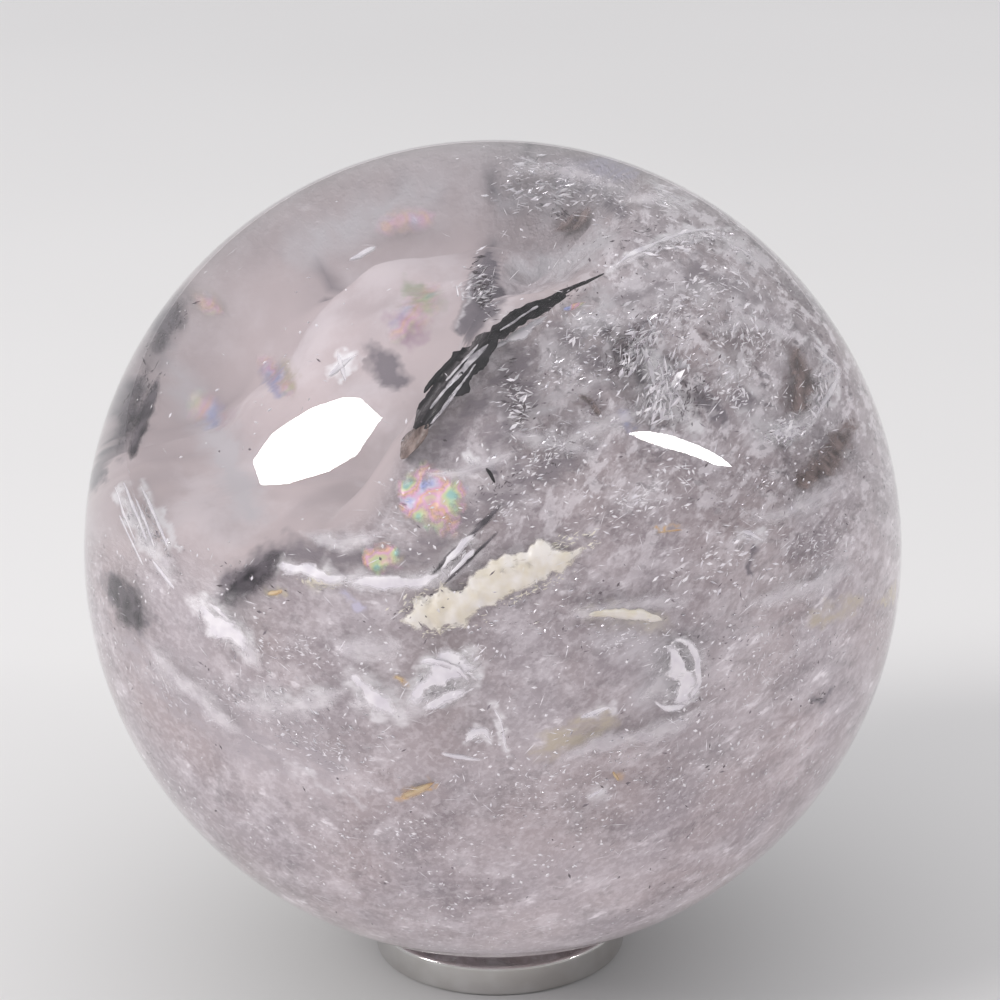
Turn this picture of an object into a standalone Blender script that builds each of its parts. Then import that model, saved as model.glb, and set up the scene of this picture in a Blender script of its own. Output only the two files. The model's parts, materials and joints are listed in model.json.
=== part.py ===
"""A polished quartz sphere that rests in a low turned metal ring.

The ring stands on the ground at the origin, and the sphere touches the rounded
inner edge of its flat top. Lengths are in metres, with +Z up.
"""

import math

import bpy

# The sphere
sphere_radius = 0.0500
sphere_subdivisions = 5

# The ring that carries it
ring_outer_radius = 0.0158
ring_bore_radius = 0.0090
ring_height = 0.0040
ring_foot_round = 0.0006
ring_shoulder_round = 0.0005
ring_seat_round = 0.0008
ring_bore_chamfer = 0.0004
ring_segments = 96
round_steps = 4

# Air left between the sphere and the ring, where the real ones touch
seat_gap = 0.0003



def clear_scene():
    for obj in list(bpy.data.objects):
        bpy.data.objects.remove(obj, do_unlink=True)


def new_collection(name):
    collection = bpy.data.collections.new(name)
    bpy.context.scene.collection.children.link(collection)
    return collection


def new_material(name, colour, roughness, metallic=0.0, transmission=0.0, ior=1.5):
    material = bpy.data.materials.new(name)
    material.use_nodes = True
    shader = material.node_tree.nodes["Principled BSDF"]
    shader.inputs["Base Color"].default_value = (*colour, 1.0)
    shader.inputs["Roughness"].default_value = roughness
    shader.inputs["Metallic"].default_value = metallic
    shader.inputs["Transmission Weight"].default_value = transmission
    shader.inputs["IOR"].default_value = ior
    return material


def quartz_material():
    return new_material("quartz", (0.86, 0.83, 0.86), 0.02, transmission=0.9, ior=1.544)


def polished_steel_material():
    return new_material("polished_steel", (0.72, 0.71, 0.70), 0.12, metallic=1.0)


def sphere_centre_height():
    """The sphere's height where it touches the ring's rounded inner edge, all round."""
    reach = sphere_radius + ring_seat_round + seat_gap
    edge_radius = ring_bore_radius + ring_seat_round
    edge_height = ring_height - ring_seat_round
    return edge_height + math.sqrt(reach**2 - edge_radius**2)


def rounded_corner(centre, radius, start_deg, end_deg):
    """Points along an arc of the ring's section, from one angle to the other."""
    points = []
    for step in range(round_steps + 1):
        angle = math.radians(start_deg + (end_deg - start_deg) * step / round_steps)
        across = centre[0] + radius * math.cos(angle)
        up = centre[1] + radius * math.sin(angle)
        points.append((across, up))
    return points


def ring_section():
    """The ring's section as (distance from the axis, height), down its outer side first."""
    shoulder_centre = (
        ring_outer_radius - ring_shoulder_round,
        ring_height - ring_shoulder_round,
    )
    foot_centre = (ring_outer_radius - ring_foot_round, ring_foot_round)
    seat_centre = (ring_bore_radius + ring_seat_round, ring_height - ring_seat_round)
    section = rounded_corner(shoulder_centre, ring_shoulder_round, 90, 0)
    section += rounded_corner(foot_centre, ring_foot_round, 0, -90)
    section.append((ring_bore_radius + ring_bore_chamfer, 0.0))
    section.append((ring_bore_radius, ring_bore_chamfer))
    section += rounded_corner(seat_centre, ring_seat_round, 180, 90)
    return section


def make_quartz_sphere(collection):
    bpy.ops.mesh.primitive_ico_sphere_add(
        subdivisions=sphere_subdivisions,
        radius=sphere_radius,
        location=(0.0, 0.0, sphere_centre_height()),
    )
    sphere = bpy.context.object
    sphere.name = sphere.data.name = "quartz_sphere"
    sphere.data.materials.append(quartz_material())
    sphere.data.shade_smooth()
    move_to(sphere, collection)
    return sphere


def make_stand_ring(collection):
    section = ring_section()
    corners = [(across, 0.0, up) for across, up in section]
    edges = [(i, (i + 1) % len(corners)) for i in range(len(corners))]
    mesh = bpy.data.meshes.new("stand_ring")
    mesh.from_pydata(corners, edges, [])
    mesh.materials.append(polished_steel_material())
    ring = bpy.data.objects.new("stand_ring", mesh)
    collection.objects.link(ring)

    turn = ring.modifiers.new("Turned section", "SCREW")
    turn.steps = turn.render_steps = ring_segments
    turn.use_smooth_shade = True
    turn.use_merge_vertices = True
    turn.merge_threshold = 0.00001

    return ring


def move_to(obj, collection):
    for old in list(obj.users_collection):
        old.objects.unlink(obj)
    collection.objects.link(obj)


def main():
    clear_scene()
    collection = new_collection("quartz_sphere_on_ring")
    make_stand_ring(collection)
    make_quartz_sphere(collection)


main()
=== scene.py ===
import json
import math
import random

import bmesh
import bpy
from mathutils import Matrix, Vector, noise
from mathutils.bvhtree import BVHTree
from mathutils.kdtree import KDTree

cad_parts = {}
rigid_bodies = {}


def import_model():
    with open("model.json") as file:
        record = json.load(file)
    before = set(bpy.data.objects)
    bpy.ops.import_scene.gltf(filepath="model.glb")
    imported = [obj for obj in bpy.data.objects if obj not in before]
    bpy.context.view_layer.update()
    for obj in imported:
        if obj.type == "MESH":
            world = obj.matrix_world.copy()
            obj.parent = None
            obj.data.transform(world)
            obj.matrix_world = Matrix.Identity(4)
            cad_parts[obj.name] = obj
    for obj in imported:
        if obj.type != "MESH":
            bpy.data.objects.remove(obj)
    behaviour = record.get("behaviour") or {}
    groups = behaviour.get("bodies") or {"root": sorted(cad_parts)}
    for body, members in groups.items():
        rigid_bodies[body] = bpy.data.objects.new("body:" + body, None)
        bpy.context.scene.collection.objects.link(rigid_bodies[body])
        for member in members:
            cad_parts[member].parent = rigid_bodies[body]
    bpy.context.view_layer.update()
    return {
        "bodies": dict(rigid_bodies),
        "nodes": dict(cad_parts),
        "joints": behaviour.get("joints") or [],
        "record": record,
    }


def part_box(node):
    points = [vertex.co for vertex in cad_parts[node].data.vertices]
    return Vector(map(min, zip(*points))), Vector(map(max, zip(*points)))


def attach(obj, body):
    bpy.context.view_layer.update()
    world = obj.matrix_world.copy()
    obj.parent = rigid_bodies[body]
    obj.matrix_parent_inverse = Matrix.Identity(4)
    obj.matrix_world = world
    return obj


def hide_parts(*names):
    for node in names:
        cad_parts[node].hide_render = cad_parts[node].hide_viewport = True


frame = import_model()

ballLow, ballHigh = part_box("quartz_sphere")
ringLow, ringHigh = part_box("stand_ring")
ballMiddle = (ballLow + ballHigh) / 2
ballRadius = (ballHigh.z - ballLow.z) / 2
mm = 0.001

# How the photograph was taken, in its own pixels where a name says so
photo = {
    "sizePx": 1000,
    "ballMiddlePx": (492.9, 548.0),
    "ballRadiusPx": 409.0,
    "distance": 0.40,  # lens to the ball's middle
    "lookDown": math.radians(19.5),
    "roll": math.radians(1.0),
    "sensorMm": 36.0,
    "outermost": 0.995,  # share of the ball's radius that a pixel's ray may pass at
}
quartzIor = 1.544


# The camera's axes, and the ways from a pixel of the photograph to the ball
def rolled(forward):
    right = forward.cross(Vector((0, 0, 1))).normalized()
    up = right.cross(forward)
    turn = Matrix.Rotation(photo["roll"], 3, forward)
    return turn @ right, turn @ up


def cameraAxes():
    down = photo["lookDown"]
    back = Vector((0.0, -math.cos(down), math.sin(down)))
    place = ballMiddle + back * photo["distance"]
    reach = photo["distance"] / ballRadius
    focal = photo["ballRadiusPx"] * math.sqrt(reach**2 - 1)
    right, up = rolled(-back)
    half = photo["sizePx"] / 2
    aside = half - photo["ballMiddlePx"][0]
    above = photo["ballMiddlePx"][1] - half
    aim = ballMiddle + (right * aside + up * above) * photo["distance"] / focal
    forward = (aim - place).normalized()
    return (place, *rolled(forward), forward, focal)


eye, viewRight, viewUp, viewForward, focalPx = cameraAxes()


def makeCamera():
    data = bpy.data.cameras.new("photo_camera")
    data.sensor_width = photo["sensorMm"]
    data.lens = focalPx / photo["sizePx"] * photo["sensorMm"]
    data.clip_start = 0.01
    camera = bpy.data.objects.new("photo_camera", data)
    bpy.context.collection.objects.link(camera)
    turn = Matrix((viewRight, viewUp, -viewForward)).transposed()
    camera.matrix_world = Matrix.Translation(eye) @ turn.to_4x4()
    bpy.context.scene.camera = camera
    print("camera: lens", round(data.lens, 1), "mm")


def skinHit(px, py):  # where the ray of a pixel meets the ball, and which way it goes
    half = photo["sizePx"] / 2
    ray = viewForward + viewRight * ((px - half) / focalPx) + viewUp * ((half - py) / focalPx)
    ray.normalize()
    toMiddle = ballMiddle - eye
    off = toMiddle - ray * toMiddle.dot(ray)
    widest = photo["outermost"] * ballRadius
    if off.length > widest:  # past the outline: the nearest ray that still meets the ball
        ray = (toMiddle - off.normalized() * widest).normalized()
        off = toMiddle - ray * toMiddle.dot(ray)
    along = toMiddle.dot(ray) - math.sqrt(ballRadius**2 - off.length_squared)
    return eye + ray * along, ray


def insideBall(px, py, depth):  # the spot that shows at a pixel: depth 0 front skin, 1 back skin
    hit, ray = skinHit(px, py)
    normal = (hit - ballMiddle).normalized()
    facing = -ray.dot(normal)
    keep = math.sqrt(1 - (1 - facing**2) / quartzIor**2)
    inner = ray / quartzIor + normal * (facing / quartzIor - keep)
    return hit + inner * (2 * ballRadius * keep * depth)


def mirrored(px, py):  # the spot and direction that the skin mirrors at a pixel
    hit, ray = skinHit(px, py)
    return hit, ray.reflect((hit - ballMiddle).normalized())


def viewShares(point):  # right, up and towards the camera, as shares of the radius
    arm = (point - ballMiddle) / ballRadius
    return arm.dot(viewRight), arm.dot(viewUp), -arm.dot(viewForward)


def smoothStep(low, high, value):
    share = min(max((value - low) / (high - low), 0.0), 1.0)
    return share * share * (3 - 2 * share)


def alongLine(points, at):  # the second number of a line of pairs, where the first is at
    for (lowAt, low), (highAt, high) in zip(points, points[1:]):
        if at <= highAt:
            return low + (high - low) * max(at - lowAt, 0.0) / (highAt - lowAt)
    return points[-1][1]


def lump(point, size, seed):  # soft noise, about -1 to 1, with lumps of a size in metres
    return noise.noise(point / size + Vector((seed * 7.1, seed * 3.3, seed * 5.7)))


def rough(point, size, seed):
    finer = lump(point, size / 2.1, seed + 1) * 0.5 + lump(point, size / 4.3, seed + 2) * 0.25
    return (lump(point, size, seed) + finer) / 1.4


# Node helpers
def put(tree, kind, inputs=None, **settings):
    node = tree.nodes.new("ShaderNode" + kind)
    for name, value in settings.items():
        setattr(node, name, value)
    for key, value in (inputs or {}).items():
        if isinstance(value, bpy.types.NodeSocket):
            tree.links.new(value, node.inputs[key])
        else:
            node.inputs[key].default_value = value
    return node


def maths(tree, operation, *values):
    return put(tree, "Math", dict(enumerate(values)), operation=operation).outputs[0]


def between(tree, value, low, high):
    return put(tree, "MapRange", {"Value": value, "To Min": low, "To Max": high}).outputs[0]


def mixed(tree, share, first, second):
    inputs = {0: share, 6: first, 7: second}
    return put(tree, "Mix", inputs, data_type="RGBA").outputs[2]


def newMaterial(name):
    material = bpy.data.materials.new(name)
    material.use_nodes = True
    material.node_tree.nodes.clear()
    return material, material.node_tree


def newGroup(name, inputs, outputs):
    group = bpy.data.node_groups.new(name, "ShaderNodeTree")
    for label, kind, value in inputs:
        socket = group.interface.new_socket(label, in_out="INPUT", socket_type="NodeSocket" + kind)
        if value is not None:
            socket.default_value = value
    for label, kind in outputs:
        group.interface.new_socket(label, in_out="OUTPUT", socket_type="NodeSocket" + kind)
    return group, group.nodes.new("NodeGroupInput"), group.nodes.new("NodeGroupOutput")


# The threads inside the quartz run in shallow bowls, which rise to the right
strike = {
    "rise": 0.16,
    "bowl": 0.46,
    "fineness": 0.62,
}


def makeWispGroup():  # threads and patches: noise stretched along the strike, cut between two levels
    group, start, end = newGroup(
        "wispMask",
        (
            ("Vector", "Vector", None),
            ("Turn", "Float", 0.0),
            ("Bend", "Float", 1.0),
            ("Stretch", "Vector", (1.0, 1.0, 1.0)),
            ("Scale", "Float", 300.0),
            ("Detail", "Float", 3.0),
            ("Low", "Float", 0.45),
            ("High", "Float", 0.65),
        ),
        (("Mask", "Float"),),
    )
    into = start.outputs
    arm = put(group, "VectorMath", {0: into["Vector"], 1: ballMiddle}, operation="SUBTRACT").outputs[0]
    axes = (viewRight, viewUp, -viewForward)
    shares = [
        put(group, "VectorMath", {0: arm, 1: axis}, operation="DOT_PRODUCT").outputs["Value"]
        for axis in axes
    ]
    faced = put(group, "CombineXYZ", dict(enumerate(shares))).outputs[0]
    turned = put(group, "VectorRotate", {"Vector": faced, "Angle": into["Turn"]}, rotation_type="Z_AXIS")
    parts = put(group, "SeparateXYZ", {0: turned.outputs[0]}).outputs
    squared = maths(group, "MULTIPLY", parts["X"], parts["X"])
    curve = maths(group, "MULTIPLY", squared, strike["bowl"] / ballRadius)
    bent = maths(group, "MULTIPLY_ADD", parts["X"], strike["rise"], curve)
    lower = maths(group, "MULTIPLY", bent, into["Bend"])
    level = maths(group, "SUBTRACT", parts["Y"], lower)
    place = put(group, "CombineXYZ", {0: parts["X"], 1: level, 2: parts["Z"]}).outputs[0]
    stretched = put(group, "VectorMath", {0: place, 1: into["Stretch"]}, operation="MULTIPLY")
    noiseInputs = {"Vector": stretched.outputs[0], "Scale": into["Scale"]}
    noiseInputs.update({"Detail": into["Detail"], "Roughness": strike["fineness"]})
    threads = put(group, "TexNoise", noiseInputs)
    levels = {"Value": threads.outputs[0], "From Min": into["Low"], "From Max": into["High"]}
    cut = put(group, "MapRange", levels, interpolation_type="SMOOTHSTEP")
    group.links.new(cut.outputs[0], end.inputs["Mask"])
    return group


tintDrift = {
    "detail": 2.0,
    "fineness": 0.55,
    "low": 0.36,
    "high": 0.64,
}


def makeTintGroup():  # two colours that drift into each other
    group, start, end = newGroup(
        "mineralTint",
        (
            ("Vector", "Vector", None),
            ("Scale", "Float", 120.0),
            ("First", "Color", (0.8, 0.8, 0.8, 1.0)),
            ("Second", "Color", (0.6, 0.6, 0.6, 1.0)),
        ),
        (("Color", "Color"),),
    )
    into = start.outputs
    noiseInputs = {"Vector": into["Vector"], "Scale": into["Scale"]}
    noiseInputs.update({"Detail": tintDrift["detail"], "Roughness": tintDrift["fineness"]})
    drift = put(group, "TexNoise", noiseInputs)
    levels = {"Value": drift.outputs[0], "From Min": tintDrift["low"], "From Max": tintDrift["high"]}
    share = put(group, "MapRange", levels)
    colour = mixed(group, share.outputs[0], into["First"], into["Second"])
    group.links.new(colour, end.inputs["Color"])
    return group


wispGroup = makeWispGroup()
tintGroup = makeTintGroup()


def wisp(tree, vector, stretch=(1, 1, 1), **values):
    inputs = {"Vector": vector, "Stretch": stretch}
    inputs.update({name.capitalize(): value for name, value in values.items()})
    return put(tree, "Group", inputs, node_tree=wispGroup).outputs["Mask"]


def tint(tree, vector, scale, first, second):
    inputs = {"Vector": vector, "Scale": scale, "First": first, "Second": second}
    return put(tree, "Group", inputs, node_tree=tintGroup).outputs["Color"]


def finish(tree, shader):
    put(tree, "OutputMaterial", {"Surface": shader})


def finishSurface(tree, inputs):
    finish(tree, put(tree, "BsdfPrincipled", inputs).outputs[0])


def addTo(whole, bm):  # moves a finished part into the whole piece
    part = bpy.data.meshes.new("part")
    bm.to_mesh(part)
    bm.free()
    whole.from_mesh(part)
    bpy.data.meshes.remove(part)


def finishPiece(bm, name, material, smooth=True, shadow=True):
    mesh = bpy.data.meshes.new(name)
    bm.normal_update()
    bm.to_mesh(mesh)
    bm.free()
    mesh.materials.append(material)
    if smooth:
        mesh.shade_smooth()
    piece = bpy.data.objects.new(name, mesh)
    bpy.context.collection.objects.link(piece)
    piece.visible_shadow = shadow
    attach(piece, "root")
    return piece


# The clear ball
glassBall = {
    "facets": 7,
    "surface": (0.97, 0.955, 0.97, 1.0),
    "body": (0.93, 0.90, 0.93, 1.0),  # what a metre of quartz lets through at a density of 1
    "density": 4.0,
    "shadow": (0.86, 0.84, 0.86, 1.0),
    "polish": (0.0, 0.022),
}


def glassMaterial():
    material, tree = newMaterial("clear_quartz")
    place = put(tree, "TexCoord").outputs["Object"]
    handled = wisp(tree, place, scale=38.0, detail=3.0, low=0.35, high=0.75)
    inputs = {
        "Base Color": glassBall["surface"],
        "Roughness": between(tree, handled, *glassBall["polish"]),
        "IOR": quartzIor,
        "Transmission Weight": 1.0,
    }
    shaded = put(tree, "BsdfPrincipled", inputs).outputs[0]
    clear = put(tree, "BsdfTransparent", {"Color": glassBall["shadow"]}).outputs[0]
    path = put(tree, "LightPath").outputs
    for ray in ("Is Diffuse Ray", "Is Shadow Ray"):
        shaded = put(tree, "MixShader", {0: path[ray], 1: shaded, 2: clear}).outputs[0]
    absorbing = {"Color": glassBall["body"], "Density": glassBall["density"]}
    body = put(tree, "VolumeAbsorption", absorbing).outputs[0]
    put(tree, "OutputMaterial", {"Surface": shaded, "Volume": body})
    return material


def makeGlassBall():
    bm = bmesh.new()
    matrix = Matrix.Translation(ballMiddle)
    bmesh.ops.create_icosphere(bm, subdivisions=glassBall["facets"], radius=ballRadius, matrix=matrix)
    piece = finishPiece(bm, "clear_quartz_ball", glassMaterial())
    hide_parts("quartz_sphere")
    print("clear ball made")


# The ring that the ball sits in
ringStand = {
    "bore": 9.0 * mm,
    "footRound": 0.6 * mm,
    "shoulderRound": 0.5 * mm,
    "seatRound": 0.8 * mm,
    "boreChamfer": 0.4 * mm,
    "arcSteps": 8,
    "spinSteps": 288,
    "colour": (0.72, 0.71, 0.70, 1.0),
    "worn": (0.60, 0.58, 0.56, 1.0),
    "lines": 5200.0,  # turned lines for each metre
    "grooves": 0.12,
    "grooveDepth": 0.02 * mm,
    "polish": (0.07, 0.2),
}


def steelMaterial():
    material, tree = newMaterial("polished_steel")
    place = put(tree, "TexCoord").outputs["Object"]
    parts = put(tree, "SeparateXYZ", {0: place})
    flat = put(tree, "CombineXYZ", {0: parts.outputs["X"], 1: parts.outputs["Y"]})
    reach = put(tree, "VectorMath", {0: flat.outputs[0]}, operation="LENGTH")
    turned = put(tree, "CombineXYZ", {0: reach.outputs["Value"], 1: parts.outputs["Z"]})
    lines = wisp(tree, turned.outputs[0], bend=0.0, scale=ringStand["lines"], low=0.3, high=0.7)
    smears = wisp(tree, place, scale=260.0, detail=4.0, low=0.4, high=0.72)
    grooves = {"Height": lines, "Strength": ringStand["grooves"], "Distance": ringStand["grooveDepth"]}
    bump = put(tree, "Bump", grooves)
    inputs = {
        "Base Color": tint(tree, place, 180.0, ringStand["colour"], ringStand["worn"]),
        "Metallic": 1.0,
        "Roughness": between(tree, smears, *ringStand["polish"]),
        "Normal": bump.outputs[0],
    }
    finishSurface(tree, inputs)
    return material


def arcPoints(middle, radius, first, last):
    steps = ringStand["arcSteps"]
    angles = [math.radians(first + (last - first) * i / steps) for i in range(steps + 1)]
    return [(middle[0] + radius * math.cos(a), middle[1] + radius * math.sin(a)) for a in angles]


def makeRing():
    ring = ringStand
    outer = ringHigh.x
    top = ringHigh.z
    shoulder, foot, seat = ring["shoulderRound"], ring["footRound"], ring["seatRound"]
    section = arcPoints((outer - shoulder, top - shoulder), shoulder, 90, 0)
    section += arcPoints((outer - foot, foot), foot, 0, -90)
    section += [(ring["bore"] + ring["boreChamfer"], 0.0), (ring["bore"], ring["boreChamfer"])]
    section += arcPoints((ring["bore"] + seat, top - seat), seat, 180, 90)
    bm = bmesh.new()
    verts = [bm.verts.new((across, 0.0, high)) for across, high in section]
    edges = [bm.edges.new(pair) for pair in zip(verts, verts[1:] + verts[:1])]
    bmesh.ops.spin(
        bm,
        geom=verts + edges,
        cent=(0, 0, 0),
        axis=(0, 0, 1),
        dvec=(0, 0, 0),
        angle=math.tau,
        steps=ring["spinSteps"],
        use_merge=True,
    )
    bmesh.ops.remove_doubles(bm, verts=bm.verts, dist=0.00001)
    bmesh.ops.recalc_face_normals(bm, faces=bm.faces)
    piece = finishPiece(bm, "polished_ring", steelMaterial())
    piece.data.set_sharp_from_angle(angle=math.radians(30))
    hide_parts("stand_ring")
    print("ring made")


# The milky part of the quartz, and the clear window that it leaves at the upper left
milk = {
    # where the window ends: across and up as the photograph shows them, as shares of the radius
    "edge": (
        (-1.2, 0.10),
        (-0.76, -0.06),
        (-0.42, -0.06),
        (-0.24, 0.16),
        (-0.12, 0.36),
        (0.0, 0.50),
        (0.20, 0.62),
        (0.36, 0.80),
        (0.60, 1.30),
    ),
    "facets": 6,
    "finer": 3,  # cuts in each edge on the side that the photograph shows
    "finerFrom": -0.05,  # how far round that side goes, as a share of the radius
    "skin": 0.935,  # share of the radius
    "windowDepth": 0.40,
    "edgeWander": (0.06, 11 * mm),
    "wallFade": (-0.06, 0.42),
    "calmFade": (-0.05, 0.10),
    "frontFade": (-0.75, -0.25),
    "veiled": (0.6, (-0.1, 0.1), (0.62, 0.78)),  # how much of the window's upper right is busy
    "wallWander": (0.05, 17 * mm),
    "relief": 0.004,
    "reliefLump": 5 * mm,
    "crackedRelief": 0.022,  # at the upper right
    "crackedDepth": 0.10,
    "crackedLump": 12 * mm,
    "crackedAcross": (-0.1, 0.3),
    "crackedUp": (0.0, 0.35),
    "crackedNear": (-0.3, 0.2),
    "crackle": (0.8, 0.3),  # how strong and how much wider the crackled look is than the relief
    "tearing": 0.85,  # how much the milk's own grain breaks up a mark
    "windowTearing": 0.12,
    "tearAt": 0.72,
    "markEdge": (0.05, 0.85),
    "bump": 0.3,
    "bumpDepth": 0.12 * mm,
    "evened": 0.7,  # milk scatters light, so its shading follows the ball more than its own relief
    "cool": (0.385, 0.346, 0.364, 1.0),
    "warm": (0.435, 0.376, 0.380, 1.0),
    "dim": (0.12, 0.107, 0.117, 1.0),
    "pale": (0.98, 0.952, 0.970, 1.0),
    "window": (0.69, 0.610, 0.605, 1.0),
    "windowCool": (0.58, 0.515, 0.518, 1.0),
}


def windowShares(place):  # how deep the clear window is, and how much of it is window wall, 0 to 1
    across, up, near = viewShares(place)
    reach = math.sqrt(across**2 + up**2 + near**2)
    across, up, near = across / reach, up / reach, near / reach
    wander, size = milk["edgeWander"]
    above = up - alongLine(milk["edge"], across) + wander * lump(place, size, 4)
    front = smoothStep(*milk["frontFade"], near)
    most, veiledAcross, veiledUp = milk["veiled"]
    veiled = most * smoothStep(*veiledAcross, across) * smoothStep(*veiledUp, up)
    calm = smoothStep(*milk["calmFade"], above) * (1 - veiled)
    return smoothStep(*milk["wallFade"], above) * front, calm * front


def crackedShare(place, wider=0.0):
    across, up, near = viewShares(place)
    (left, right), (low, high) = milk["crackedAcross"], milk["crackedUp"]
    aside, above = smoothStep(left - wider, right, across), smoothStep(low - 1.4 * wider, high, up)
    return aside * above * smoothStep(*milk["crackedNear"], near)


def milkMaterial():
    material, tree = newMaterial("milky_quartz")
    place = put(tree, "TexCoord").outputs["Object"]
    calm = put(tree, "Attribute", attribute_name="calm").outputs["Fac"]
    cracked = put(tree, "Attribute", attribute_name="cracked").outputs["Fac"]
    mark = put(tree, "Attribute", attribute_name="mark")
    busy = maths(tree, "SUBTRACT", 1.0, calm)
    banks = wisp(tree, place, (0.9, 1, 0.5), scale=70.0, detail=6.0, low=0.42, high=0.62)
    clouds = wisp(tree, place, (0.85, 1, 0.5), scale=230.0, detail=6.0, turn=0.5, low=0.48, high=0.66)
    hollows = wisp(tree, place, (0.9, 1, 0.5), scale=120.0, detail=7.0, turn=0.9, low=0.50, high=0.68)
    gaps = wisp(tree, place, (0.8, 1, 0.45), scale=520.0, detail=5.0, turn=0.3, low=0.52, high=0.68)
    threads = wisp(tree, place, (0.45, 1, 0.4), scale=1000.0, detail=2.0, low=0.56, high=0.70)
    grain = wisp(tree, place, (0.85, 1, 0.45), scale=1700.0, detail=2.0, low=0.42, high=0.66)
    haze = wisp(tree, place, (1, 0.8, 0.6), scale=95.0, detail=5.0, turn=1.1, low=0.46, high=0.66)
    shards = wisp(tree, place, (1, 0.5, 0.5), scale=560.0, detail=5.0, turn=0.4, low=0.50, high=0.60)
    pits = wisp(tree, place, (0.7, 1, 0.5), scale=760.0, detail=4.0, turn=0.7, low=0.57, high=0.66)
    rest = tint(tree, place, 75.0, milk["cool"], milk["warm"])
    wall = tint(tree, place, 90.0, milk["windowCool"], milk["window"])
    shade = mixed(tree, calm, rest, wall)
    for mask, colour, where, share in (
        (banks, "pale", busy, 0.18),
        (clouds, "pale", busy, 0.32),
        (hollows, "dim", busy, 0.28),
        (gaps, "dim", busy, 0.26),
        (maths(tree, "MULTIPLY", threads, clouds), "pale", busy, 0.85),
        (grain, "pale", busy, 0.20),
        (haze, "pale", calm, 0.30),
        (shards, "pale", cracked, 0.72),
        (pits, "dim", cracked, 0.55),
    ):
        cover = maths(tree, "MULTIPLY", mask, maths(tree, "MULTIPLY", where, share))
        shade = mixed(tree, cover, shade, milk[colour])
    fibres = wisp(tree, place, (0.35, 1, 0.5), scale=720.0, detail=3.0, low=0.36, high=0.66)
    tearing = between(tree, calm, milk["tearing"], milk["windowTearing"])
    worn = maths(tree, "MULTIPLY", maths(tree, "SUBTRACT", fibres, milk["tearAt"]), tearing)
    torn = maths(tree, "MULTIPLY_ADD", mark.outputs["Alpha"], worn, mark.outputs["Alpha"])
    least, full = milk["markEdge"]
    marked = put(tree, "MapRange", {"Value": torn, "From Min": least, "From Max": full})
    around = put(tree, "VectorMath", {0: place, 1: ballMiddle}, operation="SUBTRACT").outputs[0]
    across = put(tree, "VectorMath", {0: around}, operation="NORMALIZE").outputs[0]
    facing = put(tree, "NewGeometry").outputs["Normal"]
    evened = put(tree, "Mix", {0: milk["evened"], 4: facing, 5: across}, data_type="VECTOR").outputs[1]
    rise = maths(tree, "MULTIPLY", grain, busy)
    relief = {"Height": rise, "Strength": milk["bump"], "Distance": milk["bumpDepth"], "Normal": evened}
    inputs = {
        "Base Color": mixed(tree, marked.outputs[0], shade, mark.outputs["Color"]),
        "Roughness": between(tree, threads, 0.7, 0.5),
        "Specular IOR Level": 0.0,
        "Normal": put(tree, "Bump", relief).outputs[0],
    }
    finishSurface(tree, inputs)
    return material


def makeMilk():
    bm = bmesh.new()
    bmesh.ops.create_icosphere(bm, subdivisions=milk["facets"], radius=1.0)
    limit = milk["finerFrom"]
    shown = [face for face in bm.faces if -face.calc_center_median().dot(viewForward) > limit]
    bm.edges.index_update()
    edges = sorted({edge for face in shown for edge in face.edges}, key=lambda edge: edge.index)
    bmesh.ops.subdivide_edges(bm, edges=edges, cuts=milk["finer"], use_grid_fill=True)
    bmesh.ops.triangulate(bm, faces=bm.faces)
    calmLayer = bm.verts.layers.float.new("calm")
    crackedLayer = bm.verts.layers.float.new("cracked")
    for vert in bm.verts:
        way = vert.co.normalized()
        place = ballMiddle + way * ballRadius
        hollow, calm = windowShares(place)
        cracked = crackedShare(place) * (1 - calm)
        depth = milk["relief"] + (milk["crackedRelief"] - milk["relief"]) * cracked
        depth *= 1 + rough(place, milk["reliefLump"], 11)
        share = milk["skin"] - milk["windowDepth"] * hollow - depth
        share -= milk["crackedDepth"] * cracked * (1 + 0.5 * lump(place, milk["crackedLump"], 13))
        wander, size = milk["wallWander"]
        share -= wander * hollow * (1 + lump(place, size, 12))
        most, wider = milk["crackle"]
        vert[calmLayer] = calm
        vert[crackedLayer] = max(cracked, most * crackedShare(place, wider) * (1 - calm))
        vert.co = ballMiddle + way * ballRadius * share
    bmesh.ops.recalc_face_normals(bm, faces=bm.faces)
    tree = BVHTree.FromBMesh(bm)
    paintMarks(bm, tree)
    finishPiece(bm, "milky_quartz", milkMaterial())
    print("milky part made")
    return tree


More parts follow.
